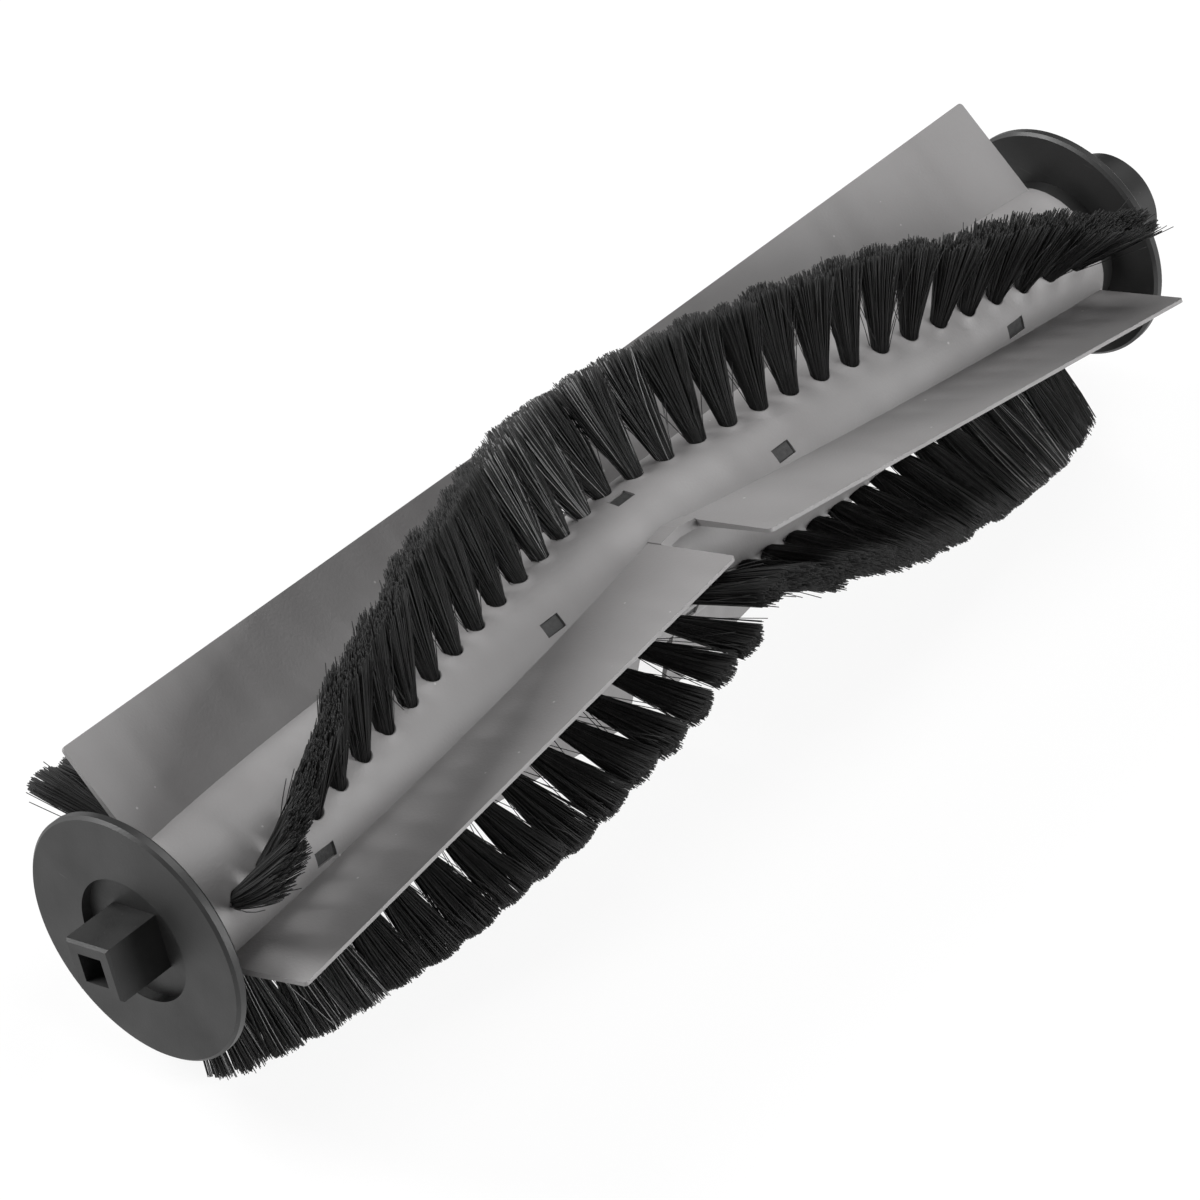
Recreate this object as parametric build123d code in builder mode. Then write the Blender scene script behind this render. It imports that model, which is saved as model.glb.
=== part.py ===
from build123d import *
from math import asin, atan, cos, degrees, hypot, radians, sin, sqrt, tan
import os

os.makedirs("parts", exist_ok=True)

# Roller brush of a robot vacuum, as it lies on its bristle tips. The axis of the roller is X, from
# the drive end at x = 0 to the bearing end, and Z is up. Angles round the axis run from +Y towards
# +Z, in degrees. All lengths are in millimetres.

# Overall
roller_length = 162.0  # between the outer faces of the two end discs
rows = 3  # bristle rows, with as many fins between them
seat_gap = 0.02  # radial, where one round piece is moulded or pressed on another
running_gap = 0.03  # radial, between the axle pin and its bush

# End discs, which keep hair away from the bearings
disc_radius = 15.0
disc_thickness = 1.5
disc_bevel = 0.35
collar_length = 2.25  # hub between a disc and the end of the sleeve
collar_margin = 0.35  # from the collar to the outside of the sleeve
spigot_length = 11.0  # plug of an end disc in the bore of the core
tongue_width = 3.2  # bar across an end disc, which turns the core
tongue_depth = 2.0
tongue_margin = 1.2  # from the end of the bar to the outside of the core
tongue_gap = 0.05

# Square drive peg
peg_side = 6.5
peg_length = 6.0  # in front of the disc
peg_bevel = 0.3
peg_turn = -22.9
peg_hole_side = 3.5
peg_hole_depth = 4.5
recess_radius = 7.5
recess_depth = 1.3

# Core, and the rubber sleeve moulded round it
sleeve_radius = 8.85
sleeve_wall = 1.2  # least, over the corners of the core
core_sides = 12  # flats that key the rubber to the core
bore_radius = 3.0

# Rubber fins, each of two flat halves that stand askew to the axis
fin_tip = 20.5  # from the axis to the edge
fin_angle = 32.1  # of the plane through the middle of both halves
fin_skew = 7.2  # between a half and the axis
fin_root_thickness = 1.2
fin_tip_thickness = 0.45
fin_inset = 0.45  # from the end of the sleeve
fin_gap = 6.0  # between the two halves
fin_corner = 0.5
foot_height = 0.4  # low foot of the fin, which goes on across the gap
foot_thickness = 1.35

# Small windows in the rubber, each with a raised pad of the core in it that keys the two together
window_length = 2.9
window_width = 1.75
window_steps = (20.1, 60.3)  # along the axis, from the middle
window_beside_fin = 13.0  # degrees from the root of a fin
window_beside_row = 18.0  # degrees from the middle tuft of a row
pad_gap = 0.05  # round a pad in its window
pad_drop = 0.3  # from the outside of the sleeve down to a pad

# Bristle tufts, each folded over a flat anchor wire and driven into a hole
bristle_tip = 22.0  # from the axis
row_angle = 55.1  # at the middle tuft
row_twist = 1.193  # degrees for each millimetre along the axis
row_margin = 4.0  # from the end of the sleeve to the last tuft, at least
tuft_pitch = 4.55
tuft_side = 2.1
tuft_tip_width = 3.0
tuft_tip_gap = 0.3  # between neighbours in a row
tuft_lean = 22.0  # between a tuft and the radius through its root
tuft_gap = 0.05  # round a tuft in its hole
hole_floor = 2.0  # from the bore of the core to the middle of a hole's floor
anchor_height = 1.4
anchor_thickness = 0.4
anchor_gap = 0.1

# Bearing end
pin_radius = 2.0
pin_depth = 10.0  # in the end disc
pin_reach = 9.4  # outside the end disc
pin_bevel = 0.3
washer_radius = 4.4
washer_thickness = 0.5
washer_gap = 0.1  # round the pin
face_gap = 0.05  # on each side of the washer
cap_radius = 6.5
cap_length = 11.0  # from the end disc to the outer end of the cap
cap_bevel = 0.6
cap_end_wall = 1.2
cap_mouth_bevel = 0.3
pin_chamber_gap = 0.6  # round the end of the pin, past the bush
bush_wall = 1.6
bush_length = 8.0
bush_inset = 0.4  # from the mouth of the cap

# Worked out from these
middle = roller_length / 2
sleeve_start = disc_thickness + collar_length
sleeve_length = roller_length - 2 * sleeve_start
core_radius = sleeve_radius - sleeve_wall
fin_length = (sleeve_length - fin_gap) / 2 - fin_inset
turn = 360 / rows


def outward(angle):
    """Unit vector away from the axis at this angle."""
    return Vector(0, cos(radians(angle)), sin(radians(angle)))


def across(x, angle=0.0):
    """Plane square to the axis at x, whose y points outward at the angle."""
    return Plane(origin=(x, 0, 0), x_dir=outward(angle - 90), z_dir=(1, 0, 0))


# Core: black plastic tube with twelve flats, a pad in every window of the rubber, a cross slot in
# each end and a blind hole for every tuft

tufts_per_half = int((sleeve_length / 2 - row_margin) / tuft_pitch)
hole_side = tuft_side + 2 * tuft_gap
root_along = sleeve_radius * cos(radians(tuft_lean))
root_beside = sleeve_radius * sin(radians(tuft_lean))
hole_depth = root_along - sqrt((bore_radius + hole_floor) ** 2 - root_beside**2)
tuft_length = sqrt(bristle_tip**2 - root_beside**2) - root_along
tip_slope = degrees(atan(bristle_tip * radians(row_twist)))


def tuft_plane(x, row):
    """Plane at the root of a tuft, whose z runs along the tuft and x along the row of tips."""
    angle = row_angle + row_twist * abs(x - middle) + turn * row
    side = 1 if x <= middle else -1
    beside = outward(angle - tuft_lean - 90) * side
    return Plane(
        origin=outward(angle) * sleeve_radius + Vector(x, 0, 0),
        x_dir=Vector(1, 0, 0) * cos(radians(tip_slope)) + beside * sin(radians(tip_slope)),
        z_dir=outward(angle - tuft_lean),
    )


row_halves = {
    "drive": [middle - tuft_pitch * step for step in range(tufts_per_half, -1, -1)],
    "bearing": [middle + tuft_pitch * step for step in range(1, tufts_per_half + 1)],
}
tuft_planes = [
    tuft_plane(x, row) for row in range(rows) for places in row_halves.values() for x in places
]
tongue_length = 2 * (core_radius - tongue_margin)


def fin_offset(x):
    """How far a flat half of a fin stands beside the fin's middle plane at x."""
    return ((fin_gap + fin_length) / 2 - abs(x - middle)) * tan(radians(fin_skew))


def window_plane(x, angle):
    """Plane that touches the sleeve at a window."""
    origin = outward(angle) * sleeve_radius + Vector(x, 0, 0)
    return Plane(origin=origin, x_dir=(1, 0, 0), z_dir=outward(angle))


window_planes = []
for row in range(rows):
    window_planes.append(window_plane(middle, row_angle + window_beside_row + turn * row))
    for step in window_steps:
        for x in (middle - step, middle + step):
            root_angle = fin_angle - degrees(asin(fin_offset(x) / sleeve_radius))
            window_planes.append(window_plane(x, root_angle - window_beside_fin + turn * row))

with BuildPart() as core:
    with BuildSketch(across(sleeve_start)):
        RegularPolygon(core_radius, core_sides)
        Circle(bore_radius, mode=Mode.SUBTRACT)
    extrude(amount=sleeve_length)
    with BuildSketch(*[plane.offset(-pad_drop) for plane in window_planes]):
        Rectangle(window_length - 2 * pad_gap, window_width - 2 * pad_gap)
    extrude(amount=-sleeve_wall)
    slot_depth = tongue_depth + tongue_gap
    for slot_start in (sleeve_start, roller_length - sleeve_start - slot_depth):
        with BuildSketch(across(slot_start)):
            Rectangle(tongue_length + 2 * tongue_gap, tongue_width + 2 * tongue_gap)
        extrude(amount=slot_depth, mode=Mode.SUBTRACT)
    with BuildSketch(*tuft_planes):
        Rectangle(hole_side, hole_side)
    extrude(amount=hole_depth, both=True, mode=Mode.SUBTRACT)
core.part.label = "core"

# Rubber sleeve: one soft moulding over the core, with the six fin halves


def fin_strip(row, start, end, height, root, tip, corner=0.0):
    """Flat strip from the axis to this height, thinner towards its edge and cut square at its ends."""
    plane = across(start, fin_angle + turn * row)
    drift = fin_offset(end) - fin_offset(start)
    with BuildPart() as strip:
        with BuildSketch(plane):
            with Locations((fin_offset(start), 0)):
                Trapezoid(root, height, *taper_angles(root, tip, height), align=(Align.CENTER, Align.MIN))
        extrude(
            amount=hypot(end - start, drift),
            dir=Vector(end - start, 0, 0) + plane.x_dir * drift,
        )
        if corner:
            edge_face = strip.faces().sort_by(Axis((0, 0, 0), plane.y_dir))[-1]
            fillet(edge_face.edges().sort_by(SortBy.LENGTH)[:2], corner)
    return strip.part


def taper_angles(root, tip, height):
    """The two base angles of a strip's section."""
    base_angle = degrees(atan(2 * height / (root - tip)))
    return base_angle, base_angle


fin_sides = ((middle - fin_gap / 2 - fin_length, middle - fin_gap / 2),)
fin_sides += ((middle + fin_gap / 2, middle + fin_gap / 2 + fin_length),)
foot_sides = ((middle - fin_gap / 2, middle), (middle, middle + fin_gap / 2))
fins = [
    fin_strip(row, start, end, fin_tip, fin_root_thickness, fin_tip_thickness, fin_corner)
    for row in range(rows)
    for start, end in fin_sides
]
feet = [
    fin_strip(
        row, start, end, sleeve_radius + foot_height, foot_thickness, fin_root_thickness
    )
    for row in range(rows)
    for start, end in foot_sides
]

with BuildPart() as rubber_sleeve:
    with BuildSketch(across(sleeve_start)):
        Circle(sleeve_radius)
    extrude(amount=sleeve_length)
    add(fins + feet)
    with BuildSketch(across(sleeve_start)):
        RegularPolygon(core_radius + seat_gap, core_sides)
    extrude(amount=sleeve_length, mode=Mode.SUBTRACT)
    with BuildSketch(*window_planes):
        Rectangle(window_length, window_width)
    extrude(amount=-2 * sleeve_wall, mode=Mode.SUBTRACT)
    with BuildSketch(*tuft_planes):
        Rectangle(hole_side, hole_side)
    extrude(amount=hole_depth, both=True, mode=Mode.SUBTRACT)
rubber_sleeve.part.label = "rubber_sleeve"

# Tufts and anchors: one of each is modelled at the origin and then set in every hole of a half row

tuft_tip_length = tuft_pitch / cos(radians(tip_slope)) - tuft_tip_gap
flare_start = hole_side / 2 * tan(radians(tuft_lean))


def tuft_outline(tip_size):
    """Tuft seen from one side, square in its hole and spreading from there to this size."""
    return Polygon(
        (-tuft_side / 2, anchor_height - hole_depth),
        (tuft_side / 2, anchor_height - hole_depth),
        (tuft_side / 2, flare_start),
        (tip_size / 2, tuft_length),
        (-tip_size / 2, tuft_length),
        (-tuft_side / 2, flare_start),
        align=None,
    )


with BuildPart() as tuft:
    with BuildSketch(Plane.XZ):
        tuft_outline(tuft_tip_length)
    extrude(amount=tuft_tip_width / 2, both=True)
    with BuildSketch(Plane.YZ):
        tuft_outline(tuft_tip_width)
    extrude(amount=tuft_tip_length / 2, both=True, mode=Mode.INTERSECT)

with BuildPart() as anchor:
    with BuildSketch(Plane.XY.offset(-hole_depth)):
        Rectangle(hole_side - 2 * anchor_gap, anchor_thickness)
    extrude(amount=anchor_height)

half_rows = []
for row in range(rows):
    for half, places in row_halves.items():
        seats = [tuft_plane(x, row).location for x in places]
        with BuildPart() as bristles:
            with Locations(*seats):
                add(tuft.part)
        bristles.part.label = f"bristles_{row + 1}_{half}"
        with BuildPart() as anchors:
            with Locations(*seats):
                add(anchor.part)
        anchors.part.label = f"anchors_{row + 1}_{half}"
        half_rows += [bristles.part, anchors.part]

# End discs: black plastic, each with a collar, a tongue for the slot and a spigot for the bore


def end_disc(face, inward):
    """Disc whose outer face lies at x = face and whose spigot points inward, +1 or -1 along X."""
    with BuildPart() as disc:
        with BuildSketch(across(face)):
            Circle(disc_radius)
        extrude(amount=inward * disc_thickness)
        chamfer(disc.edges().filter_by(GeomType.CIRCLE), disc_bevel)
        with BuildSketch(across(face + inward * disc_thickness)):
            Circle(collar_radius)
        extrude(amount=inward * collar_length)
        with BuildSketch(across(face + inward * sleeve_start)):
            Rectangle(tongue_length, tongue_width)
        extrude(amount=inward * tongue_depth)
        with BuildSketch(across(face + inward * sleeve_start)):
            Circle(bore_radius - seat_gap)
        extrude(amount=inward * spigot_length)
    return disc.part


collar_radius = sleeve_radius - collar_margin
drive_blank = end_disc(0, 1)
bearing_blank = end_disc(roller_length, -1)

with BuildPart() as drive_end_disc:
    add(drive_blank)
    with BuildSketch(across(0)):
        Circle(recess_radius)
    extrude(amount=recess_depth, mode=Mode.SUBTRACT)
    with BuildSketch(across(-peg_length)):
        Rectangle(peg_side, peg_side, rotation=peg_turn)
    extrude(amount=peg_length + recess_depth)
    chamfer(drive_end_disc.faces().sort_by(Axis.X)[0].edges(), peg_bevel)
    with BuildSketch(across(-peg_length)):
        Rectangle(peg_hole_side, peg_hole_side, rotation=peg_turn)
    extrude(amount=peg_hole_depth, mode=Mode.SUBTRACT)
drive_end_disc.part.label = "drive_end_disc"

with BuildPart() as bearing_end_disc:
    add(bearing_blank)
    with BuildSketch(across(roller_length)):
        Circle(pin_radius + seat_gap)
    extrude(amount=-pin_depth, mode=Mode.SUBTRACT)
bearing_end_disc.part.label = "bearing_end_disc"

# Bearing: a steel pin in the end disc, on which the bush and its cap turn freely

with BuildPart() as axle_pin:
    with BuildSketch(across(roller_length - pin_depth)):
        Circle(pin_radius)
    extrude(amount=pin_depth + pin_reach)
    chamfer(axle_pin.edges().filter_by(GeomType.CIRCLE), pin_bevel)
axle_pin.part.label = "axle_pin"

cap_mouth = roller_length + washer_thickness + 2 * face_gap
cap_end = roller_length + cap_length
bush_start = cap_mouth + bush_inset
bush_end = bush_start + bush_length
bush_bore = pin_radius + running_gap
bush_radius = bush_bore + bush_wall

with BuildPart() as thrust_washer:
    with BuildSketch(across(roller_length + face_gap)):
        Circle(washer_radius)
        Circle(pin_radius + washer_gap, mode=Mode.SUBTRACT)
    extrude(amount=washer_thickness)
thrust_washer.part.label = "thrust_washer"

with BuildPart() as bearing_bush:
    with BuildSketch(across(bush_start)):
        Circle(bush_radius)
        Circle(bush_bore, mode=Mode.SUBTRACT)
    extrude(amount=bush_length)
bearing_bush.part.label = "bearing_bush"

with BuildPart() as bearing_cap:
    with BuildSketch(across(cap_mouth)):
        Circle(cap_radius)
    extrude(amount=cap_end - cap_mouth)
    rims = bearing_cap.edges().filter_by(GeomType.CIRCLE).sort_by(Axis.X)
    chamfer(rims[0], cap_mouth_bevel)
    chamfer(rims[-1], cap_bevel)
    with BuildSketch(across(cap_mouth)):
        Circle(bush_radius + seat_gap)
    extrude(amount=bush_end - cap_mouth, mode=Mode.SUBTRACT)
    with BuildSketch(across(bush_end)):
        Circle(pin_radius + pin_chamber_gap)
    extrude(amount=cap_end - cap_end_wall - bush_end, mode=Mode.SUBTRACT)
bearing_cap.part.label = "bearing_cap"

pieces = [core.part, rubber_sleeve.part, drive_end_disc.part, bearing_end_disc.part]
pieces += [axle_pin.part, thrust_washer.part, bearing_bush.part, bearing_cap.part]
for piece in pieces + half_rows:
    export_step(piece, f"parts/{piece.label}.step")
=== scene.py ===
from math import asin, atan, cos, degrees, pi, radians, sin, sqrt

import bpy
import numpy as np
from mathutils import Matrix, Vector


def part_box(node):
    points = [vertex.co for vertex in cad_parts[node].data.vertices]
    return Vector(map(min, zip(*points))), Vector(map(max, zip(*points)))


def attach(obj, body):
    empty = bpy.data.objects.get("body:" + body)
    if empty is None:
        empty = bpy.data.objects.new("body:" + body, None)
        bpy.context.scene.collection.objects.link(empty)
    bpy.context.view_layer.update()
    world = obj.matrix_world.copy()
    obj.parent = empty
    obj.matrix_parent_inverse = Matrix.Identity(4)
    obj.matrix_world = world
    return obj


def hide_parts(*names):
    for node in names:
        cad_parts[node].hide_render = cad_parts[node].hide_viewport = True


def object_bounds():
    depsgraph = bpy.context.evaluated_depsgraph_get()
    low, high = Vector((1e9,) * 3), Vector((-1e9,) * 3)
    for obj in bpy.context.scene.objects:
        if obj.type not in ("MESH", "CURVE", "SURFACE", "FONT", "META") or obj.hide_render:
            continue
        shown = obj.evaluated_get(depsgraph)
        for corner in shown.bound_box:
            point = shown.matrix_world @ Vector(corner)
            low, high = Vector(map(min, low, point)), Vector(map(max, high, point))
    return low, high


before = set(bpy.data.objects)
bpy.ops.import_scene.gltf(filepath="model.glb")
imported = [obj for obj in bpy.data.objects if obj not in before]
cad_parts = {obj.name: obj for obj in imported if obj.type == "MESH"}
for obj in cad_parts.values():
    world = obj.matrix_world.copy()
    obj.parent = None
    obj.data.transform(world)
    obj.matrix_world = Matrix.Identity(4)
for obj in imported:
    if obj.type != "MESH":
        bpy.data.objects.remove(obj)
cad_low, cad_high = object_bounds()
MM = 0.001

# Core: a moulded tube of black ABS with drilled holes, which carries everything else. Only small patches
# of it show, through the windows in the rubber, with the coarse grain that helps the rubber to hold.


def colour(hex_code):
    """Linear RGBA of an sRGB hex value: the sRGB curve undone, channel by channel."""
    channels = [int(hex_code[i : i + 2], 16) / 255 for i in (1, 3, 5)]
    return [c / 12.92 if c <= 0.04045 else ((c + 0.055) / 1.055) ** 2.4 for c in channels] + [1.0]


def add_node(tree, kind, inputs=None, **settings):
    """Adds a node, sets its properties, and sets each named input or links it to a socket."""
    node = tree.nodes.new(kind)
    for name, value in settings.items():
        setattr(node, name, value)
    for name, value in (inputs or {}).items():
        if isinstance(value, bpy.types.NodeSocket):
            tree.links.new(value, node.inputs[name])
        else:
            node.inputs[name].default_value = value
    return node


def new_material(name):
    """Empty material, and its node tree."""
    material = bpy.data.materials.new(name)
    material.use_nodes = True
    material.node_tree.nodes.clear()
    return material, material.node_tree


def dress(node_name, material):
    """Gives a CAD node this one material."""
    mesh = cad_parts[node_name].data
    mesh.materials.clear()
    mesh.materials.append(material)


core_grain = 0.5 * MM  # width of the sand-blasted grain, drawn coarser than it is so that it shows
core_grain_height = 0.15 * MM

# Sand-blasted ABS: near black, with a coarse grain that breaks up its shine
core_abs, tree = new_material("sand_blasted_black_abs")
place = add_node(tree, "ShaderNodeTexCoord")
grain = add_node(
    tree, "ShaderNodeTexNoise", {"Vector": place.outputs["Object"], "Scale": 1 / core_grain}
)
tone = add_node(
    tree,
    "ShaderNodeMix",
    {"Factor": grain.outputs["Fac"], "A": colour("#141414"), "B": colour("#383838")},
    data_type="RGBA",
)
relief = add_node(
    tree,
    "ShaderNodeBump",
    {"Height": grain.outputs["Fac"], "Strength": 0.6, "Distance": core_grain_height},
)
shader = add_node(
    tree,
    "ShaderNodeBsdfPrincipled",
    {
        "Base Color": tone.outputs[2],
        "Roughness": 0.6,
        "IOR": 1.53,
        "Normal": relief.outputs["Normal"],
    },
)
add_node(tree, "ShaderNodeOutputMaterial", {"Surface": shader.outputs[0]})
dress("core", core_abs)

# Rubber sleeve: grey thermoplastic elastomer moulded over the core, with its fins in one piece. The
# mould leaves a matt skin, and the tufts driven through it push up a low collar round each hole.

speck_spacing = 4.0 * MM  # between bits of dust on the soft skin
speck_core = 0.03  # share of the spacing within which a bit of dust hides the most
speck_rim = 0.045  # and beyond which it hides nothing
speck_share = 0.55  # the most that it hides of the rubber's colour
skin_grain = 0.35 * MM  # mould grain, drawn coarser than it is so that it shows
skin_grain_height = 0.06 * MM
cloud_size = 14.0 * MM  # uneven patches of tone and shine
wave_along = 7.0 * MM  # soft waves of the thin fins, short along the axis and long across it
wave_across = 30.0 * MM
wave_height = 1.0 * MM  # in the shading only, since the fins of the part are flat

# Moulded TPE: a matt mid grey with soft clouds, a few bits of dust and faint waves in the fins
sleeve_tpe, tree = new_material("moulded_grey_tpe")
place = add_node(tree, "ShaderNodeTexCoord")
clouds = add_node(
    tree,
    "ShaderNodeTexNoise",
    {"Vector": place.outputs["Object"], "Scale": 1 / cloud_size, "Detail": 4.0},
)
skin = add_node(
    tree,
    "ShaderNodeTexNoise",
    {"Vector": place.outputs["Object"], "Scale": 1 / skin_grain, "Detail": 2.0},
)
tone = add_node(
    tree,
    "ShaderNodeMix",
    {"Factor": clouds.outputs["Fac"], "A": colour("#767474"), "B": colour("#828181")},
    data_type="RGBA",
)
dust = add_node(
    tree,
    "ShaderNodeTexVoronoi",
    {"Vector": place.outputs["Object"], "Scale": 1 / speck_spacing, "Randomness": 1.0},
)
dust_dot = add_node(
    tree,
    "ShaderNodeMapRange",
    {
        "Value": dust.outputs["Distance"],
        "From Min": speck_core,
        "From Max": speck_rim,
        "To Min": 1.0,
        "To Max": 0.0,
    },
)
dust_some = add_node(
    tree,
    "ShaderNodeMath",
    {0: dust_dot.outputs[0], 1: speck_share},
    operation="MULTIPLY",
)
dusted = add_node(
    tree,
    "ShaderNodeMix",
    {"Factor": dust_some.outputs[0], "A": tone.outputs[2], "B": colour("#b4b4b2")},
    data_type="RGBA",
)
dull = add_node(
    tree,
    "ShaderNodeMapRange",
    {"Value": clouds.outputs["Fac"], "From Min": 0.3, "From Max": 0.7, "To Min": 0.46, "To Max": 0.6},
)
relief = add_node(
    tree,
    "ShaderNodeBump",
    {"Height": skin.outputs["Fac"], "Strength": 0.45, "Distance": skin_grain_height},
)
stretched = add_node(
    tree,
    "ShaderNodeMapping",
    {"Vector": place.outputs["Object"], "Scale": (1 / wave_along, 1 / wave_across, 1 / wave_across)},
)
waves = add_node(
    tree, "ShaderNodeTexNoise", {"Vector": stretched.outputs[0], "Scale": 1.0, "Detail": 1.0}
)
waved = add_node(
    tree,
    "ShaderNodeBump",
    {
        "Height": waves.outputs["Fac"],
        "Strength": 1.0,
        "Distance": wave_height,
        "Normal": relief.outputs["Normal"],
    },
)
shader = add_node(
    tree,
    "ShaderNodeBsdfPrincipled",
    {
        "Base Color": dusted.outputs[2],
        "Roughness": dull.outputs[0],
        "IOR": 1.5,
        "Normal": waved.outputs["Normal"],
    },
)
add_node(tree, "ShaderNodeOutputMaterial", {"Surface": shader.outputs[0]})
dress("rubber_sleeve", sleeve_tpe)

sleeve_radius = 8.85  # in millimetres, as are all lengths of new pieces until new_piece scales them
rows = 3
turn = 360 / rows  # degrees from row to row
row_angle = 55.1  # of the middle tuft of the first row, from +Y towards +Z
row_twist = 1.193  # degrees for each millimetre from the middle
tuft_pitch = 4.55
tufts_per_half = {"drive": 17, "bearing": 16}
middle = (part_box("rubber_sleeve")[0].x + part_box("rubber_sleeve")[1].x) / 2 / MM
collar_rings = np.array(  # distance from the tuft's middle and height over the sleeve
    [[1.0, -0.5], [1.06, 0.16], [1.2, 0.15], [1.45, 0.1], [1.75, 0.05], [2.15, 0.015], [2.6, -0.006]]
)
collar_sides = 20  # points round each ring
hole_edge = 1.06  # where a collar starts to stand over the sleeve
lean_rise = 0.6  # how much higher a collar is on the side that the tuft pushes up
middle_swell = 0.5  # height of the collars at the middle of a row, where 1 is as the rings say


def tuft_places(half):
    """Where the tufts of half a row stand along the axis: at the pitch, out from the middle."""
    steps = np.arange(tufts_per_half[half])
    return middle - tuft_pitch * steps if half == "drive" else middle + tuft_pitch * (steps + 1)


def new_piece(name, points, faces, material, body):
    """Piece from an array of points in millimetres and one of faces, riding on a body and given a
    material slot that holds the material."""
    mesh = bpy.data.meshes.new(name)
    mesh.from_pydata(points.reshape(-1, 3) * MM, [], faces)
    mesh.polygons.foreach_set("use_smooth", np.ones(len(mesh.polygons), bool))
    mesh.materials.append(material)
    piece = bpy.data.objects.new(name, mesh)
    bpy.context.scene.collection.objects.link(piece)
    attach(piece, body)
    return piece


def hole_collars():
    """Low ring of rubber round every hole: rings of a polar grid laid on the sleeve's cylinder, at the
    profile's distances and heights, higher on the side that the tuft pushes up and towards the ends, and
    narrower near the middle, where a window is close."""
    round_hole = np.linspace(0, 2 * np.pi, collar_sides, endpoint=False)
    distance, height = collar_rings[:, 0, None], collar_rings[:, 1, None]
    lean_side = 1 + lean_rise * np.sin(round_hole)
    rise = np.where(height > 0, height * lean_side, height)
    shapes = []
    for row in range(rows):
        for half in tufts_per_half:
            for x in tuft_places(half):
                swell = middle_swell + abs(x - middle) / middle
                past_edge = np.maximum(distance - hole_edge, 0)
                reach = distance - past_edge * (1 - min(swell, 1))
                along = reach * np.cos(round_hole)
                beside = reach * np.sin(round_hole)
                tuft_angle = radians(row_angle + row_twist * abs(x - middle) + turn * row)
                angle = tuft_angle + beside / sleeve_radius
                radius = sleeve_radius + rise * np.where(rise > 0, swell, 1)
                shapes.append(np.stack([x + along, radius * np.cos(angle), radius * np.sin(angle)], -1))
    points = np.array(shapes)
    count, rings, sides = points.shape[:3]
    first = np.arange(count * rings * sides).reshape(count, rings, sides)
    after = np.roll(first, -1, 2)
    faces = np.stack([first[:, :-1], first[:, 1:], after[:, 1:], after[:, :-1]], -1).reshape(-1, 4)
    return points, faces


points, faces = hole_collars()
new_piece("hole_collars", points, faces.tolist(), sleeve_tpe, "roller")

# Bristle tufts: bundles of drawn black nylon, folded over a flat wire and driven into the core, then
# trimmed round. They spread towards their cut tips until neighbours meet, and some bristles stray.

bristle_tip = 22.0  # from the axis, where the tufts are trimmed
tuft_lean = 22.0  # degrees from straight out
bristle_radius = 0.058
bristles_per_tuft = 360  # a few more than the hole holds, so that the tufts look as dense as they are
bundle_radius = 0.92  # of a tuft in its hole
tip_half_length = 3.0  # half of a tuft's spread along the row
tip_half_width = 1.4  # half of its spread across the row
straightness = 1.2  # 0 bends a pressed tuft along its length, 1 or more bends it all at the hole
tip_rounding = 0.6  # how much shorter a tuft is at its sides than in its middle
rounding_limit = 1.5  # of the squared spread, so that no stray is cut too short
squareness = 0.7  # of the fanned-out tip, whose neighbours press it into an oblong
rooted = 1.0  # how far into the hole the bristles are drawn
stray_share = 0.045
stray_scatter = 0.7  # how far strays stand off, as a share of the tip's half spread
tip_scatter = 0.08  # the same for every bristle
press_scatter = 1.2  # degrees, how unevenly the tufts are pressed over
cut_scatter = 0.3  # uneven lengths in a tuft
tuft_scatter = 0.15  # uneven lengths from tuft to tuft
any_turn = 6.3  # radians, just over a full turn, for turns left to chance
clumps = 7  # groups of bristles in a tuft that cling together
clump_pull = 0.12  # share of the way to its group's middle that a tip is drawn
clump_range = 0.85  # share of the tip's half spread in which the groups' middles lie
ring_places = np.array([0.0, 0.25, 0.5, 0.75, 1.0])  # along a bristle, from its hole to its tip
bristle_sides = 3
root_along = sleeve_radius * cos(radians(tuft_lean))
root_beside = sleeve_radius * sin(radians(tuft_lean))
tuft_length = sqrt(bristle_tip**2 - root_beside**2) - root_along  # along its lean, out of the sleeve
tip_shift = tuft_lean - degrees(asin(root_beside / bristle_tip))  # round the axis, from hole to tip
tip_slope = atan(bristle_tip * radians(row_twist))  # of the line of tips against the axis
worn_tips = {  # along a half row, from 0 at the middle to 1: degrees pressed over, spread, fullness
    (0, "drive"): (
        (0.0, 2.0, 1.3, 1.0),
        (0.12, 2.0, 1.3, 1.0),
        (0.3, 3.0, 1.1, 0.9),
        (0.7, 9.0, 1.1, 0.95),
        (0.85, 4.0, 1.15, 0.9),
        (1.0, -6.0, 1.35, 0.7),
    ),
    (0, "bearing"): (
        (0.0, 0.0, 1.1, 0.6),
        (0.3, 0.0, 1.0, 0.5),
        (0.6, 1.0, 0.95, 0.45),
        (0.85, 2.0, 1.1, 0.6),
        (1.0, -2.0, 1.3, 0.8),
    ),
    (1, "drive"): (
        (0.0, 8.0, 0.9, 0.6),
        (0.06, 4.0, 0.7, 0.6),
        (0.18, 4.0, 0.75, 0.6),
        (0.3, 4.0, 0.9, 0.6),
        (0.6, 4.0, 0.95, 0.7),
        (1.0, 2.0, 1.1, 0.8),
    ),
    (1, "bearing"): (
        (0.0, 9.0, 1.3, 1.1),
        (0.35, 10.0, 1.3, 1.1),
        (0.65, 13.0, 1.3, 1.1),
        (1.0, 14.0, 1.2, 1.1),
    ),
    (2, "drive"): ((0.0, 1.0, 1.0, 0.5), (1.0, -1.0, 1.1, 0.5)),
    (2, "bearing"): ((0.0, 1.0, 1.0, 0.5), (1.0, 1.0, 1.0, 0.5)),
}
cut_from = 0.96  # share of a bristle's length past which its cut end turns paler
cut_share = 0.2  # how far it turns
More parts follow.
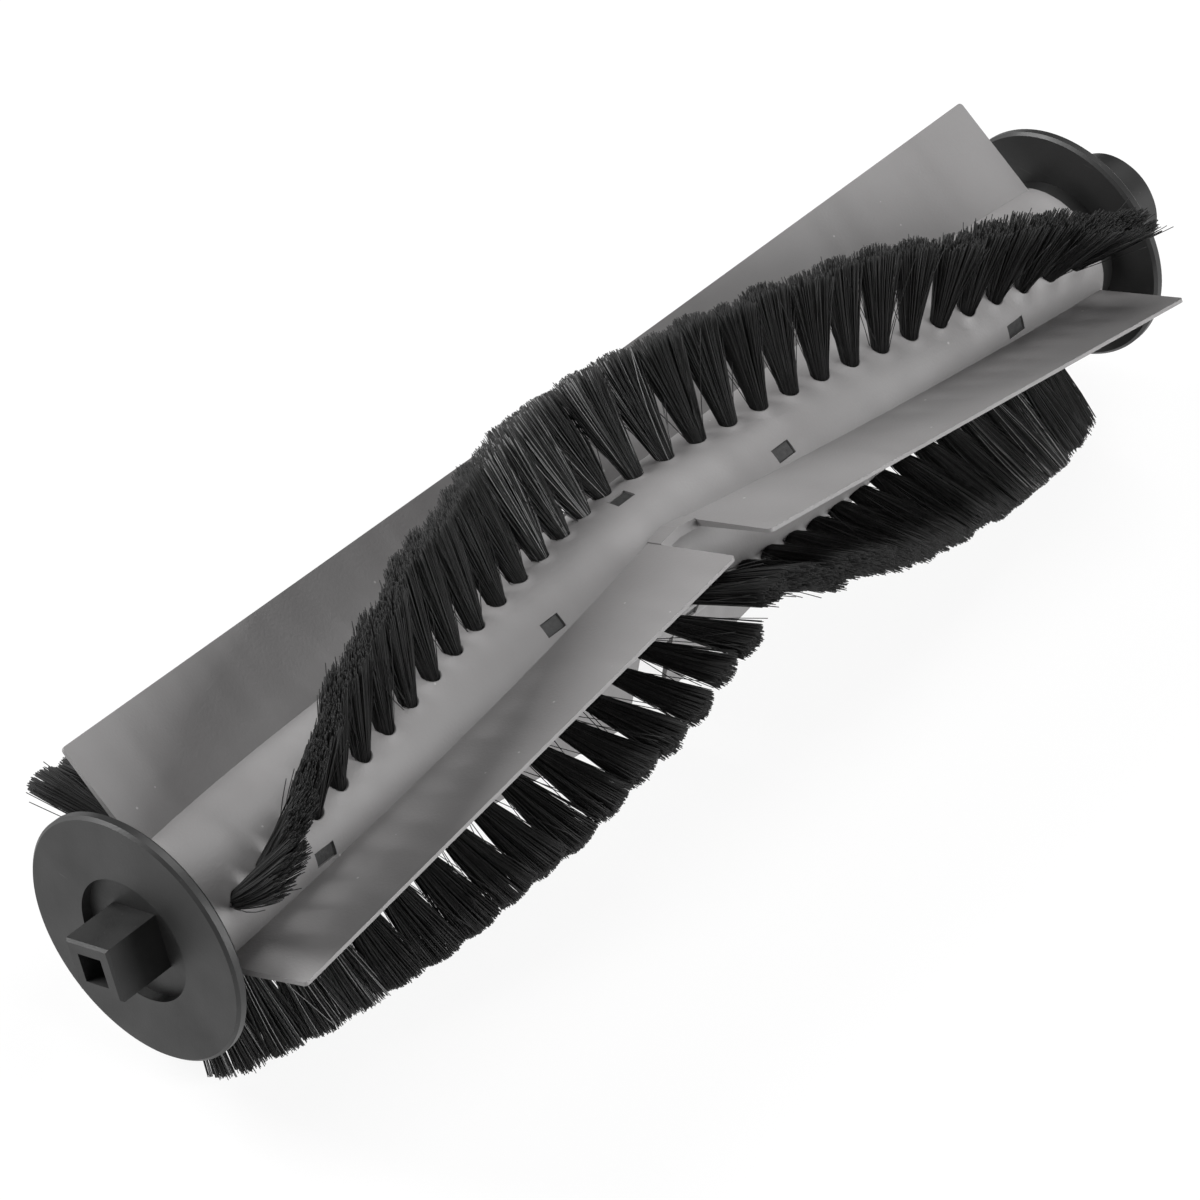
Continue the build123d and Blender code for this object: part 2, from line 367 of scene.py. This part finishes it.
painted_glint_share = 0.2  # share of the bristles in the listed tufts painted pale: a painted highlight for threads that glint in the light
dark_range = 0.08  # of tone among the others, where 1 is pale
painted_glint_tufts = {  # tufts with painted highlights on some bristles, counted from the middle
    (0, "drive"): (0, 1, 2, 3),
    (0, "bearing"): (0, 1),
    (1, "drive"): (13, 14, 15, 16),
    (1, "bearing"): (11, 12, 13),
}

# Drawn nylon: dull black threads, some of them painted pale as a painted highlight for glinting threads,
# with slightly paler cut ends
nylon, tree = new_material("drawn_black_nylon")
strand_tone_and_glint = add_node(tree, "ShaderNodeAttribute", attribute_name="strand_tone_and_glint")
strand_place = add_node(tree, "ShaderNodeAttribute", attribute_name="strand_place")
# Dark random tone, and at its pale end a painted highlight: the glint of lit threads painted into some
# bristles
tone = add_node(
    tree,
    "ShaderNodeMix",
    {"Factor": strand_tone_and_glint.outputs["Fac"], "A": colour("#232323"), "B": colour("#747474")},
    data_type="RGBA",
)
cut_end = add_node(
    tree,
    "ShaderNodeMapRange",
    {
        "Value": strand_place.outputs["Fac"],
        "From Min": cut_from,
        "From Max": 1.0,
        "To Min": 0.0,
        "To Max": cut_share,
    },
)
tipped = add_node(
    tree,
    "ShaderNodeMix",
    {"Factor": cut_end.outputs[0], "A": tone.outputs[2], "B": colour("#3c3c3c")},
    data_type="RGBA",
)
shader = add_node(
    tree,
    "ShaderNodeBsdfPrincipled",
    {"Base Color": tipped.outputs[2], "Roughness": 0.6, "IOR": 1.53, "Specular IOR Level": 0.18},
)
add_node(tree, "ShaderNodeOutputMaterial", {"Surface": shader.outputs[0]})


def outward(angle):
    """Unit vectors square to the axis at these angles in radians."""
    return np.stack([np.zeros_like(angle), np.cos(angle), np.sin(angle)], -1)


def half_row(row, half):
    """Every bristle of half a row, as a thin three-sided tube along a quadratic curve with three points.
    The start lies in the hole, on a spiral of equal areas inside the bundle. The tip lies on the trimmed
    cylinder: the start's place in the bundle, squared off and drawn to its clump, times the spread, and
    turned by what the tuft is pressed over. The bow between them lies half way up the lean, moved by
    straightness towards the straight line and by fullness towards the tip's spread."""
    draw = np.random.default_rng(100 * row + len(half))
    places = tuft_places(half)
    shape = (len(places), bristles_per_tuft)
    x = places[:, None]
    side = np.sign(x - middle)
    angle = np.radians(row_angle + row_twist * np.abs(x - middle) + turn * row)
    order = np.arange(bristles_per_tuft)
    bundle = np.sqrt((order + 0.5) / bristles_per_tuft)
    spiral = order * np.pi * (3 - sqrt(5)) + draw.uniform(0, any_turn, (len(places), 1))
    u = bundle * np.cos(spiral)
    v = bundle * np.sin(spiral)

    lean = outward(angle - radians(tuft_lean))
    along_row = outward(angle - radians(tuft_lean + 90)) * (-side * sin(tip_slope))[..., None]
    along_row = along_row + np.array([cos(tip_slope), 0, 0])
    across_row = np.cross(lean, along_row)
    on_axis = np.stack([x, 0 * x, 0 * x], -1)
    root = outward(angle) * sleeve_radius + on_axis
    start = root + bundle_radius * (u[..., None] * along_row + v[..., None] * across_row)
    start = start - lean * rooted

    reach = np.abs(places - middle) / (tuft_pitch * tufts_per_half[half])
    worn = np.array(worn_tips[row, half]).T
    pressed = np.interp(reach, worn[0], worn[1])[:, None]
    pressed = pressed + draw.normal(0, press_scatter, (len(places), 1))
    spread = np.interp(reach, worn[0], worn[2])[:, None]
    fullness = np.interp(reach, worn[0], worn[3])[:, None]
    stray = draw.random(shape) < stray_share
    squared = 1 + squareness * (bundle / np.maximum(np.abs(u), np.abs(v)) - 1)
    spread_u = u * squared + draw.normal(0, tip_scatter, shape)
    spread_u = spread_u + stray * draw.normal(0, stray_scatter, shape)
    spread_v = v * squared + draw.normal(0, tip_scatter, shape)
    spread_v = spread_v + stray * draw.normal(0, stray_scatter, shape)
    clump_spots = draw.uniform(-clump_range, clump_range, (len(places), 1, clumps, 2))
    to_clumps = clump_spots - np.stack([spread_u, spread_v], -1)[:, :, None]
    nearest = np.argmin((to_clumps**2).sum(-1), -1)[..., None, None]
    to_nearest = np.take_along_axis(to_clumps, nearest, 2)[:, :, 0]
    tip_along = (spread_u + clump_pull * to_nearest[..., 0]) * tip_half_length * spread
    tip_across = (spread_v + clump_pull * to_nearest[..., 1]) * tip_half_width * spread
    tip_x = x + tip_along * cos(tip_slope)
    tip_angle = angle - np.radians(tip_shift + pressed)
    tip_angle = tip_angle + side * np.radians(row_twist) * tip_along * cos(tip_slope)
    tip_angle = tip_angle - tip_across / bristle_tip
    tip_radius = bristle_tip - np.abs(draw.normal(0, cut_scatter, shape))
    tip_radius = tip_radius + draw.normal(0, tuft_scatter, (len(places), 1))
    tip_radius = tip_radius - tip_rounding * np.minimum(spread_u**2, rounding_limit)
    tip = outward(tip_angle) * tip_radius[..., None]
    tip[..., 0] = tip_x

    half_way_along = bundle_radius * u * (1 - fullness) + tip_along * fullness
    half_way_across = (bundle_radius * v + tip_across) / 2
    end = outward(angle - np.radians(tip_shift + pressed)) * bristle_tip + on_axis
    bow = root + (1 - straightness) * lean * tuft_length / 2 + straightness * (end - root) / 2
    bow = bow + half_way_along[..., None] * along_row + half_way_across[..., None] * across_row
    s = ring_places[:, None]
    line = (
        (1 - s) ** 2 * start[..., None, :]
        + 2 * s * (1 - s) * bow[..., None, :]
        + s**2 * tip[..., None, :]
    )
    heading = 2 * (1 - s) * (bow - start)[..., None, :] + 2 * s * (tip - bow)[..., None, :]
    heading = heading / np.linalg.norm(heading, axis=-1, keepdims=True)
    across_line = across_row[..., None, :]
    across_line = across_line - heading * (across_line * heading).sum(-1, keepdims=True)
    across_line = across_line / np.linalg.norm(across_line, axis=-1, keepdims=True)
    third = np.cross(heading, across_line)
    roll = draw.uniform(0, any_turn, shape)[..., None, None]
    roll = (roll + np.arange(bristle_sides) * 2 * np.pi / bristle_sides)[..., None]
    ring = np.cos(roll) * across_line[..., None, :] + np.sin(roll) * third[..., None, :]
    points = line[..., None, :] + bristle_radius * ring

    tufts, strands, rings, sides = points.shape[:4]
    first = np.arange(tufts * strands * rings * sides).reshape(-1, rings, sides)
    after = np.roll(first, -1, 2)
    walls = np.stack([first[:, :-1], after[:, :-1], after[:, 1:], first[:, 1:]], -1).reshape(-1, 4)
    ends = np.concatenate([first[:, 0, ::-1], first[:, -1]])
    # Painted highlight: a share of the bristles in the listed tufts takes the pale tone, for the glint
    # of lit threads; the rest take a dark random tone
    paled = np.isin(np.arange(len(places)), painted_glint_tufts.get((row, half), ()))[:, None]
    tone = np.where(paled & (draw.random(shape) < painted_glint_share), 1.0, dark_range * draw.random(shape))
    tones_and_glints = np.broadcast_to(tone[..., None, None], points.shape[:-1])
    strand_places = np.broadcast_to(ring_places[:, None], points.shape[:-1])
    return points, walls.tolist() + ends.tolist(), tones_and_glints, strand_places


for row in range(rows):
    for half in tufts_per_half:
        points, faces, tones_and_glints, strand_places = half_row(row, half)
        name = f"bristles_{row + 1}_{half}"
        piece = new_piece(f"nylon_{name}", points, faces, nylon, "roller")
        # Tone of each bristle, with its painted highlight, and place along it
        for attribute, values in (("strand_tone_and_glint", tones_and_glints), ("strand_place", strand_places)):
            layer = piece.data.attributes.new(attribute, "FLOAT", "POINT")
            layer.data.foreach_set("value", values.astype(np.float32).ravel())
        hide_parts(name)

# Anchor wires, axle pin, washer and bush: the small hard parts inside. The wires are galvanised flat
# steel, the pin is ground steel, the bush is turned brass and the washer is punched from white acetal.

tool_marks = 0.754 * MM  # between marks of drawing, grinding or turning, drawn coarse to show
tool_mark_height = 0.01 * MM
wave_bands = 20 / (2 * pi)  # bands that the wave texture draws in one unit at scale 1
anchor_nodes = [f"anchors_{row + 1}_{half}" for row in range(rows) for half in tufts_per_half]

# Galvanised steel is a dull pale grey, ground steel brighter and sharper, and turned brass yellow
metals = (
    ("galvanised_steel", "#b5b3ad", 0.45, anchor_nodes),
    ("ground_steel", "#c2c2c2", 0.25, ["axle_pin"]),
    ("turned_brass", "#c8a35a", 0.3, ["bearing_bush"]),
)
for name, hex_code, roughness, nodes in metals:
    metal, tree = new_material(name)
    place = add_node(tree, "ShaderNodeTexCoord")
    marks = add_node(
        tree,
        "ShaderNodeTexWave",
        {
            "Vector": place.outputs["Object"],
            "Scale": 1 / (tool_marks * wave_bands),
            "Distortion": 2.0,
        },
        bands_direction="X",
    )
    relief = add_node(
        tree,
        "ShaderNodeBump",
        {"Height": marks.outputs["Fac"], "Strength": 0.2, "Distance": tool_mark_height},
    )
    shader = add_node(
        tree,
        "ShaderNodeBsdfPrincipled",
        {
            "Base Color": colour(hex_code),
            "Metallic": 1.0,
            "Roughness": roughness,
            "Normal": relief.outputs["Normal"],
        },
    )
    add_node(tree, "ShaderNodeOutputMaterial", {"Surface": shader.outputs[0]})
    for node in nodes:
        dress(node, metal)

# Punched acetal: an even waxy white
acetal, tree = new_material("punched_white_acetal")
shader = add_node(
    tree, "ShaderNodeBsdfPrincipled", {"Base Color": colour("#dcdbd6"), "Roughness": 0.4, "IOR": 1.48}
)
add_node(tree, "ShaderNodeOutputMaterial", {"Surface": shader.outputs[0]})
dress("thrust_washer", acetal)

# End discs and bearing cap: injection-moulded charcoal ABS from a spark-eroded mould, which leaves a
# fine even grain. The discs are pressed into the core's ends, and handling has rubbed them a little.

spark_grain = 0.3 * MM  # drawn coarser than it is so that it shows
spark_grain_height = 0.04 * MM
wear_size = 6.0 * MM  # patches that handling has polished a little
scratch_width = 0.25 * MM  # fine rub marks, drawn wider than they are
scratch_length = 6.0 * MM
scratch_turn = 0.6  # radians round the axis by which the rub marks slant
scratch_from = 0.72  # level of the noise from which a rub mark shows
scratch_full = 0.8  # and from which it shows fully
scratch_share = 0.6  # the most that it hides of the plastic's colour

# Spark-grained ABS: near black and half matt, with faint polished patches and thin pale rub marks
for name, dark, light, nodes in (
    ("spark_grained_charcoal_abs", "#131313", "#1b1b1b", ["drive_end_disc", "bearing_end_disc"]),
    ("spark_grained_black_abs", "#0f0f0f", "#151515", ["bearing_cap"]),
):
    abs_plastic, tree = new_material(name)
    place = add_node(tree, "ShaderNodeTexCoord")
    grain = add_node(
        tree,
        "ShaderNodeTexNoise",
        {"Vector": place.outputs["Object"], "Scale": 1 / spark_grain, "Detail": 2.0},
    )
    wear = add_node(
        tree,
        "ShaderNodeTexNoise",
        {"Vector": place.outputs["Object"], "Scale": 1 / wear_size, "Detail": 5.0},
    )
    tone = add_node(
        tree,
        "ShaderNodeMix",
        {"Factor": wear.outputs["Fac"], "A": colour(dark), "B": colour(light)},
        data_type="RGBA",
    )
    drawn_out = add_node(
        tree,
        "ShaderNodeMapping",
        {
            "Vector": place.outputs["Object"],
            "Rotation": (scratch_turn, 0, 0),
            "Scale": (1 / scratch_width, 1 / scratch_length, 1 / scratch_width),
        },
    )
    marks = add_node(
        tree, "ShaderNodeTexNoise", {"Vector": drawn_out.outputs[0], "Scale": 1.0, "Detail": 2.0}
    )
    scratched = add_node(
        tree,
        "ShaderNodeMapRange",
        {
            "Value": marks.outputs["Fac"],
            "From Min": scratch_from,
            "From Max": scratch_full,
            "To Min": 0.0,
            "To Max": scratch_share,
        },
    )
    paled = add_node(
        tree,
        "ShaderNodeMix",
        {"Factor": scratched.outputs[0], "A": tone.outputs[2], "B": colour("#5a5a5a")},
        data_type="RGBA",
    )
    dull = add_node(
        tree,
        "ShaderNodeMapRange",
        {"Value": wear.outputs["Fac"], "From Min": 0.3, "From Max": 0.7, "To Min": 0.42, "To Max": 0.56},
    )
    relief = add_node(
        tree,
        "ShaderNodeBump",
        {"Height": grain.outputs["Fac"], "Strength": 0.3, "Distance": spark_grain_height},
    )
    shader = add_node(
        tree,
        "ShaderNodeBsdfPrincipled",
        {
            "Base Color": paled.outputs[2],
            "Roughness": dull.outputs[0],
            "IOR": 1.53,
            "Normal": relief.outputs["Normal"],
        },
    )
    add_node(tree, "ShaderNodeOutputMaterial", {"Surface": shader.outputs[0]})
    for node in nodes:
        dress(node, abs_plastic)

# Floor: a pale sheet under the bristle tips. The camera and the shiny faces see it almost white, and it
# takes the shadow.

floor_half = 3.0  # metres from its middle to its edge
floor_glow = 0.88  # share of plain white that the camera sees in the floor

paper, tree = new_material("pale_paper")
path = add_node(tree, "ShaderNodeLightPath")
sheet = add_node(tree, "ShaderNodeBsdfDiffuse", {"Color": colour("#f4f4f4")})
glow = add_node(tree, "ShaderNodeEmission", {"Color": (1, 1, 1, 1), "Strength": 1.0})
straight = add_node(
    tree,
    "ShaderNodeMath",
    {0: path.outputs["Is Camera Ray"], 1: path.outputs["Is Glossy Ray"]},
    operation="MAXIMUM",
)
seen = add_node(tree, "ShaderNodeMath", {0: straight.outputs[0], 1: floor_glow}, operation="MULTIPLY")
mixed = add_node(
    tree, "ShaderNodeMixShader", {0: seen.outputs[0], 1: sheet.outputs[0], 2: glow.outputs[0]}
)
add_node(tree, "ShaderNodeOutputMaterial", {"Surface": mixed.outputs[0]})

floor_mesh = bpy.data.meshes.new("floor")
floor_corners = [
    (side_x * floor_half, side_y * floor_half, cad_low.z)
    for side_x, side_y in ((-1, -1), (1, -1), (1, 1), (-1, 1))
]
floor_mesh.from_pydata(floor_corners, [], [(0, 1, 2, 3)])
floor_mesh.materials.append(paper)
floor = bpy.data.objects.new("floor", floor_mesh)
bpy.context.scene.collection.objects.link(floor)

# Light: soft boxes low on both sides, a weaker one overhead and a faint card in front of the drive end,
# in a dim pale room that the camera sees as white.

sky_strength = 0.06  # of the room's light on the roller, where the camera sees 1
lamp_distance = 0.6  # metres from the roller's middle
lamp_size = 0.3
lamps = (  # way to the lamp from the roller's middle, and power in watts
    ("left_box", (-0.4, 0.75, 0.5), 4.9),
    ("right_box", (0.3, -0.85, 0.42), 3.6),
    ("top_box", (0.35, 0.1, 0.93), 1.9),
    ("front_card", (-0.8, -0.3, 0.5), 0.4),
)

scene = bpy.context.scene
scene.view_settings.view_transform = "Standard"
sky = bpy.data.worlds.new("sky")
scene.world = sky
sky.use_nodes = True
sky.node_tree.nodes.clear()
path = add_node(sky.node_tree, "ShaderNodeLightPath")
strength = add_node(
    sky.node_tree,
    "ShaderNodeMapRange",
    {"Value": path.outputs["Is Camera Ray"], "To Min": sky_strength, "To Max": 1.0},
)
white = add_node(
    sky.node_tree,
    "ShaderNodeBackground",
    {"Color": (1, 1, 1, 1), "Strength": strength.outputs[0]},
)
add_node(sky.node_tree, "ShaderNodeOutputWorld", {"Surface": white.outputs[0]})

aim = (cad_low + cad_high) / 2
for name, way, watts in lamps:
    lamp_data = bpy.data.lights.new(name, "AREA")
    lamp_data.shape = "SQUARE"
    lamp_data.size = lamp_size
    lamp_data.energy = watts
    lamp = bpy.data.objects.new(name, lamp_data)
    scene.collection.objects.link(lamp)
    way = Vector(way).normalized()
    lamp.location = aim + lamp_distance * way
    lamp.rotation_euler = way.to_track_quat("Z", "Y").to_euler()

# Camera: where the photograph was taken from, above the drive end and on the near side, with a long
# lens that nearly fills the frame with the roller. Its place was solved from discs, fins and tufts.

camera_data = bpy.data.cameras.new("camera")
camera_data.sensor_width = 36.0
camera_data.lens = 171.76
camera = bpy.data.objects.new("camera", camera_data)
scene.collection.objects.link(camera)
camera.location = (-301.70 * MM, -275.04 * MM, 439.90 * MM)
camera.rotation_euler = [radians(turned) for turned in (46.414, -4.502, -49.636)]
scene.camera = camera
